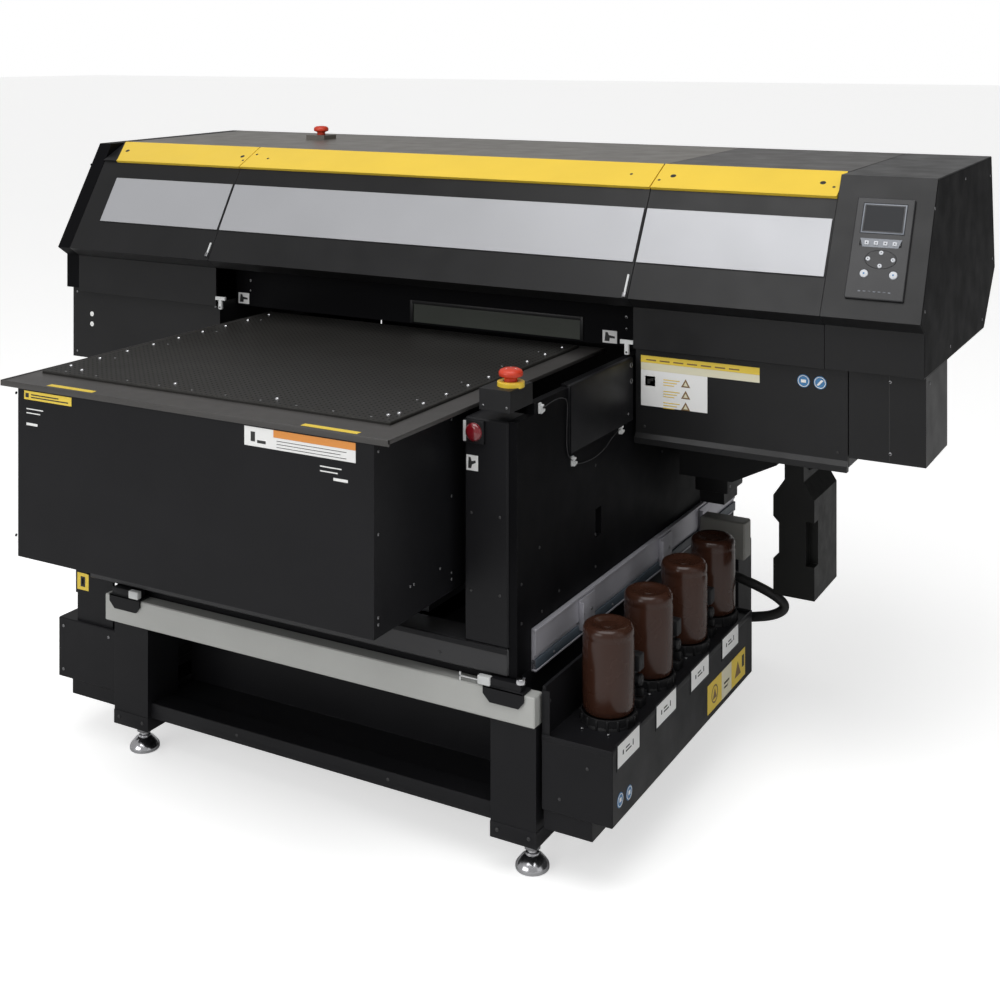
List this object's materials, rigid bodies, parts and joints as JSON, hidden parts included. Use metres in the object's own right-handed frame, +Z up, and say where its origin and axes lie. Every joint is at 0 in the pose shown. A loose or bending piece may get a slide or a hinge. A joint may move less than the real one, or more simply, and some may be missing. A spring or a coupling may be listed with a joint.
{
  "type": "flatbed uv printer",
  "caption": "Flatbed UV printer: long gantry housing with lift-up front covers over a forward-sliding perforated table on a low steel stand, with an ink bottle tray on the right.",
  "frame": {"origin": "on the floor under the middle of the overall box", "axes": "+X along the gantry towards the operation panel, +Y to the back, +Z up"},
  "size_m": [2.2, 1.449, 1.2663],
  "materials": {
    "black_paint": "fine textured satin",
    "grey_paint": "satin",
    "aluminium": "anodised",
    "steel": "ground",
    "chrome": "polished",
    "red_plastic": "semi-gloss",
    "bed": "dark anodised, perforated",
    "window": "tinted",
    "bottle": "semi-gloss",
    "black_plastic": "fine texture",
    "hose_rubber": "matt",
    "bezel": "satin",
    "screen": "gloss",
    "key": "satin",
    "beige_box": "satin"
  },
  "bodies": {
    "machine": {"body_deck": "black_paint", "column": "black_paint", "column_estop_housing": "black_plastic", "drive_belt": "hose_rubber", "end_cheek_left": "black_paint", "end_unit_right": "black_paint", "front_beam": "grey_paint", "front_sill": "black_paint", "gantry_beam": "aluminium", "indicator_lens": "red_plastic", "ink_tray": "black_paint", "junction_box": "beige_box", "left_cabinet": "black_paint", "lower_box_far_right": "black_paint", "lower_box_left": "black_paint", "lower_box_right": "black_paint", "panel_bezel": "bezel", "panel_screen": "screen", "rear_cover": "black_paint", "recess_wall": "black_paint", "side_rail_left": "aluminium", "side_rail_right": "aluminium", "side_wall_left": "black_paint", "side_wall_right": "black_paint", "stand_frame": "black_paint", "top_plate": "black_paint", "top_plate_right": "black_paint", "viewing_window": "window", "waste_hose": "hose_rubber"},
    "table_travel": {"table_carriage": "aluminium"},
    "table": {"table_lift_frame": "steel", "table_flange": "black_paint", "bed_plate": "bed", "front_skirt_box": "black_paint"},
    "print_head": {"print_carriage": "black_plastic", "uv_lamp_left": "aluminium", "uv_lamp_right": "aluminium"},
    "cover_left": {"front_cover_left": "black_paint"},
    "cover_centre": {"front_cover_centre": "black_paint"},
    "cover_right": {"front_cover_right": "black_paint"},
    "maintenance_cover": {"maintenance_cover": "black_paint"},
    "column_estop": {"column_estop_button": "red_plastic"},
    "top_estop": {"top_estop_button": "red_plastic"},
    "drive_screw": {"table_drive_screw": "steel"},
    "pulley": {"belt_pulley": "steel"},
    "capping": {"capping_station": "black_plastic"},
    "function_keys": {"function_key_bar": "key"},
    "arrow_keys": {"arrow_key_pad": "key"},
    "round_key_1": {"round_key_1": "key"},
    "round_key_2": {"round_key_2": "key"},
    "waste_tank": {"waste_tank": "black_plastic"},
    "bottle_1": {"ink_bottle_1": "bottle"},
    "bottle_2": {"ink_bottle_2": "bottle"},
    "bottle_3": {"ink_bottle_3": "bottle"},
    "bottle_4": {"ink_bottle_4": "bottle"},
    "foot_front_left": {"levelling_foot_front_left": "chrome"},
    "foot_front_right": {"levelling_foot_front_right": "chrome"},
    "foot_rear_left": {"levelling_foot_rear_left": "chrome"},
    "foot_rear_right": {"levelling_foot_rear_right": "chrome"}
  },
  "joints": [
    {"name": "table_slide", "type": "slide", "parent": "machine", "child": "table_travel", "axis": [0, 1, 0], "range_m": [0, 0.5]},
    {"name": "table_lift", "type": "slide", "parent": "table_travel", "child": "table", "axis": [0, 0, 1], "range_m": [-0.07, 0]},
    {"name": "head_slide", "type": "slide", "parent": "machine", "child": "print_head", "axis": [1, 0, 0], "range_m": [-1.45, 0]},
    {"name": "cover_left_hinge", "type": "hinge", "parent": "machine", "child": "cover_left", "pos_m": [-0.83, 0.1925, 1.23], "axis": [-1, 0, 0], "range_deg": [0, 80]},
    {"name": "cover_centre_hinge", "type": "hinge", "parent": "machine", "child": "cover_centre", "pos_m": [-0.047, 0.1925, 1.23], "axis": [-1, 0, 0], "range_deg": [0, 80]},
    {"name": "cover_right_hinge", "type": "hinge", "parent": "machine", "child": "cover_right", "pos_m": [0.709, 0.1925, 1.23], "axis": [-1, 0, 0], "range_deg": [0, 80]},
    {"name": "maintenance_cover_hinge", "type": "hinge", "parent": "machine", "child": "maintenance_cover", "pos_m": [0.729, 0.02, 0.6595], "axis": [1, 0, 0], "range_deg": [0, 85]},
    {"name": "column_estop_press", "type": "slide", "parent": "machine", "child": "column_estop", "axis": [0, 0, 1], "range_m": [-0.004, 0], "stiffness_N_per_m": 800},
    {"name": "top_estop_press", "type": "slide", "parent": "machine", "child": "top_estop", "axis": [0, 0, 1], "range_m": [-0.004, 0], "stiffness_N_per_m": 800},
    {"name": "drive_screw_turn", "type": "hinge", "parent": "machine", "child": "drive_screw", "pos_m": [-0.05, 0.0905, 0.38], "axis": [0, 1, 0], "continuous": true},
    {"name": "belt_pulley_turn", "type": "hinge", "parent": "machine", "child": "pulley", "pos_m": [0.86, 0.4805, 1.1], "axis": [0, 1, 0], "continuous": true},
    {"name": "capping_lift", "type": "slide", "parent": "machine", "child": "capping", "axis": [0, 0, 1], "range_m": [0, 0.018]},
    {"name": "function_key_press", "type": "slide", "parent": "machine", "child": "function_keys", "axis": [0, 0.866, -0.5], "range_m": [0, 0.001], "stiffness_N_per_m": 200},
    {"name": "arrow_key_press", "type": "slide", "parent": "machine", "child": "arrow_keys", "axis": [0, 0.866, -0.5], "range_m": [0, 0.001], "stiffness_N_per_m": 200},
    {"name": "round_key_1_press", "type": "slide", "parent": "machine", "child": "round_key_1", "axis": [0, 0.866, -0.5], "range_m": [0, 0.001], "stiffness_N_per_m": 200},
    {"name": "round_key_2_press", "type": "slide", "parent": "machine", "child": "round_key_2", "axis": [0, 0.866, -0.5], "range_m": [0, 0.001], "stiffness_N_per_m": 200},
    {"name": "waste_tank_removal", "type": "slide", "parent": "machine", "child": "waste_tank", "axis": [0, 0, 1], "range_m": [-0.12, 0]},
    {"name": "bottle_1_removal", "type": "slide", "parent": "machine", "child": "bottle_1", "axis": [0, 0, 1], "range_m": [0, 0.2]},
    {"name": "bottle_2_removal", "type": "slide", "parent": "machine", "child": "bottle_2", "axis": [0, 0, 1], "range_m": [0, 0.2]},
    {"name": "bottle_3_removal", "type": "slide", "parent": "machine", "child": "bottle_3", "axis": [0, 0, 1], "range_m": [0, 0.2]},
    {"name": "bottle_4_removal", "type": "slide", "parent": "machine", "child": "bottle_4", "axis": [0, 0, 1], "range_m": [0, 0.2]},
    {"name": "foot_front_left_turn", "type": "hinge", "parent": "machine", "child": "foot_front_left", "pos_m": [-0.423, -0.4265, 0.03], "axis": [0, 0, 1], "continuous": true},
    {"name": "foot_front_right_turn", "type": "hinge", "parent": "machine", "child": "foot_front_right", "pos_m": [0.503, -0.4265, 0.03], "axis": [0, 0, 1], "continuous": true},
    {"name": "foot_rear_left_turn", "type": "hinge", "parent": "machine", "child": "foot_rear_left", "pos_m": [-0.423, 0.6075, 0.03], "axis": [0, 0, 1], "continuous": true},
    {"name": "foot_rear_right_turn", "type": "hinge", "parent": "machine", "child": "foot_rear_right", "pos_m": [0.503, 0.6075, 0.03], "axis": [0, 0, 1], "continuous": true}
  ],
  "couplings": [
    {"joint": "drive_screw_turn", "follows": "table_slide", "rad_per_m": 314.16},
    {"joint": "belt_pulley_turn", "follows": "head_slide", "rad_per_m": 48.781}
  ]
}
